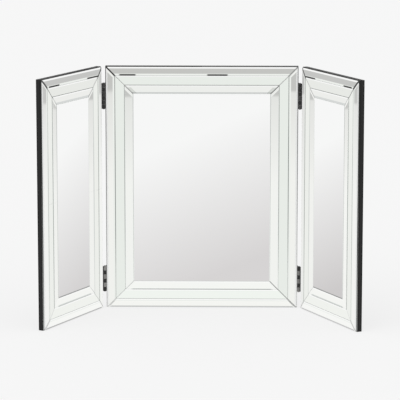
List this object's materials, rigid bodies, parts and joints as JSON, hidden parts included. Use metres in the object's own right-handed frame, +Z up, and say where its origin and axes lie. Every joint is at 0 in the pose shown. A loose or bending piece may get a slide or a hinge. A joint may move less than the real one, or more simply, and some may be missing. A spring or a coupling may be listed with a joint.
{
  "type": "trifold vanity mirror",
  "caption": "Free-standing trifold dressing-table mirror: a centre panel and hinged wings, each a black board faced with mitred bevelled mirror strips round a mirror pane.",
  "frame": {"origin": "middle of the centre board's bottom face, on the surface the mirror stands on", "axes": "+Z up, mirrors face -Y, +X to the right of someone looking into the mirror"},
  "size_m": [0.684, 0.2437, 0.536],
  "materials": {
    "black_board": "satin black lacquer over fibreboard",
    "mirror_pane": "silvered float glass, ground edge",
    "bevelled_strip": "silvered bevelled glass, faint green tint, ground edges",
    "hinge_leaf": "black enamelled steel",
    "hinge_pin": "black enamelled steel, worn at the heads",
    "hinge_screw": "blackened steel"
  },
  "bodies": {
    "centre_panel": {"centre_backing_board": "black_board", "centre_hinge_screws": "hinge_screw", "centre_inner_strip_bottom": "bevelled_strip", "centre_inner_strip_left": "bevelled_strip", "centre_inner_strip_right": "bevelled_strip", "centre_inner_strip_top": "bevelled_strip", "centre_middle_strip_bottom": "bevelled_strip", "centre_middle_strip_left": "bevelled_strip", "centre_middle_strip_right": "bevelled_strip", "centre_middle_strip_top": "bevelled_strip", "centre_mirror_pane": "mirror_pane", "centre_outer_strip_bottom": "bevelled_strip", "centre_outer_strip_left": "bevelled_strip", "centre_outer_strip_right": "bevelled_strip", "centre_outer_strip_top": "bevelled_strip", "lower_left_hinge_centre_leaf": "hinge_leaf", "lower_left_hinge_pin": "hinge_pin", "lower_right_hinge_centre_leaf": "hinge_leaf", "lower_right_hinge_pin": "hinge_pin", "upper_left_hinge_centre_leaf": "hinge_leaf", "upper_left_hinge_pin": "hinge_pin", "upper_right_hinge_centre_leaf": "hinge_leaf", "upper_right_hinge_pin": "hinge_pin"},
    "left_wing": {"left_wing_backing_board": "black_board", "left_wing_hinge_screws": "hinge_screw", "left_wing_inner_strip_bottom": "bevelled_strip", "left_wing_inner_strip_left": "bevelled_strip", "left_wing_inner_strip_right": "bevelled_strip", "left_wing_inner_strip_top": "bevelled_strip", "left_wing_middle_strip_bottom": "bevelled_strip", "left_wing_middle_strip_left": "bevelled_strip", "left_wing_middle_strip_right": "bevelled_strip", "left_wing_middle_strip_top": "bevelled_strip", "left_wing_mirror_pane": "mirror_pane", "left_wing_outer_strip_bottom": "bevelled_strip", "left_wing_outer_strip_left": "bevelled_strip", "left_wing_outer_strip_right": "bevelled_strip", "left_wing_outer_strip_top": "bevelled_strip", "lower_left_hinge_wing_leaf": "hinge_leaf", "upper_left_hinge_wing_leaf": "hinge_leaf"},
    "right_wing": {"lower_right_hinge_wing_leaf": "hinge_leaf", "right_wing_backing_board": "black_board", "right_wing_hinge_screws": "hinge_screw", "right_wing_inner_strip_bottom": "bevelled_strip", "right_wing_inner_strip_left": "bevelled_strip", "right_wing_inner_strip_right": "bevelled_strip", "right_wing_inner_strip_top": "bevelled_strip", "right_wing_middle_strip_bottom": "bevelled_strip", "right_wing_middle_strip_left": "bevelled_strip", "right_wing_middle_strip_right": "bevelled_strip", "right_wing_middle_strip_top": "bevelled_strip", "right_wing_mirror_pane": "mirror_pane", "right_wing_outer_strip_bottom": "bevelled_strip", "right_wing_outer_strip_left": "bevelled_strip", "right_wing_outer_strip_right": "bevelled_strip", "right_wing_outer_strip_top": "bevelled_strip", "upper_right_hinge_wing_leaf": "hinge_leaf"}
  },
  "joints": [
    {"name": "left_wing_hinge", "type": "hinge", "parent": "centre_panel", "child": "left_wing", "pos_m": [-0.2134, -0.0101, 0], "axis": [0, 0, 1], "range_deg": [-63.5, 81]},
    {"name": "right_wing_hinge", "type": "hinge", "parent": "centre_panel", "child": "right_wing", "pos_m": [0.2134, -0.0101, 0], "axis": [0, 0, -1], "range_deg": [-63.5, 81]}
  ]
}
